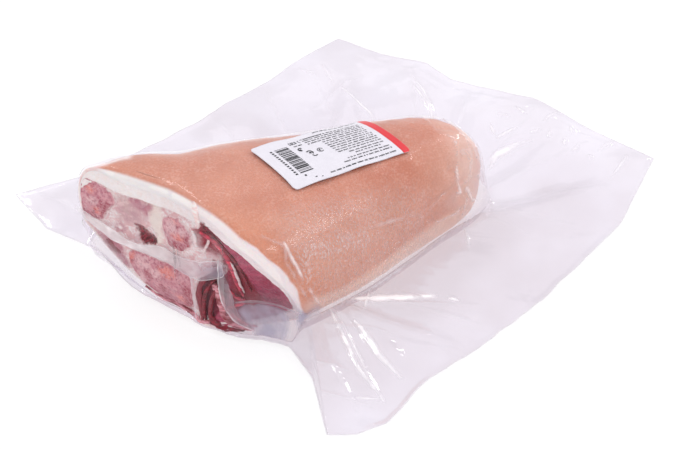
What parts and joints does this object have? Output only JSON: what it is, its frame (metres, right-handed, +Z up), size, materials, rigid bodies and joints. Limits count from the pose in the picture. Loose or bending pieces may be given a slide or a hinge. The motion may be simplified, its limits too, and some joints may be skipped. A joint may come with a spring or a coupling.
{
  "type": "vacuum pack of pork shank",
  "caption": "Clear sealed pouch drawn tight over a pork shank with a sawn end, with a creased skirt of spare film round it and a paper label on the ridge.",
  "frame": {"origin": "on the table, under the middle of the pouch's outline", "axes": "+X along the shank, from the sawn end to the narrow end; +Y across it, to the left; +Z up, away from the table"},
  "size_m": [0.3507, 0.3087, 0.081],
  "materials": {
    "film": "clear, glossy, creased polyamide and polyethylene film",
    "rind": "moist scraped pork rind, satin",
    "fat": "waxy, satin",
    "meat": "wet, glossy",
    "bone": "sawn, spongy, damp",
    "label": "coated paper, satin",
    "label_print": "thermal print, flat",
    "label_stripe": "printed colour, satin"
  },
  "bodies": {
    "root": {"pouch": "film", "label": "label"}
  },
  "joints": []
}
